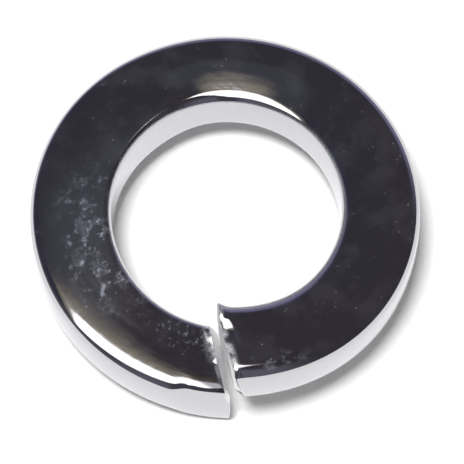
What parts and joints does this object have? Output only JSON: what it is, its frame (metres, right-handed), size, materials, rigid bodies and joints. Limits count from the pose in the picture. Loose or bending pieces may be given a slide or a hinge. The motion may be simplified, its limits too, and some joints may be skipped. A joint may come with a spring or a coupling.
{
  "type": "spring lock washer",
  "caption": "Helical spring lock washer: one heavy turn of rolled wire, split and sheared at a slant, with its ends standing apart along the bore.",
  "frame": {"origin": "on the bore's axis, level with the lowest point of the low end", "axes": "+Z along the bore, from the low end to the high end; the split faces -Y, and the high end lies on its +X side"},
  "size_m": [0.0218, 0.0218, 0.007],
  "materials": {
    "washer": "polished"
  },
  "bodies": {
    "root": {"lock_washer": "washer"}
  },
  "joints": []
}
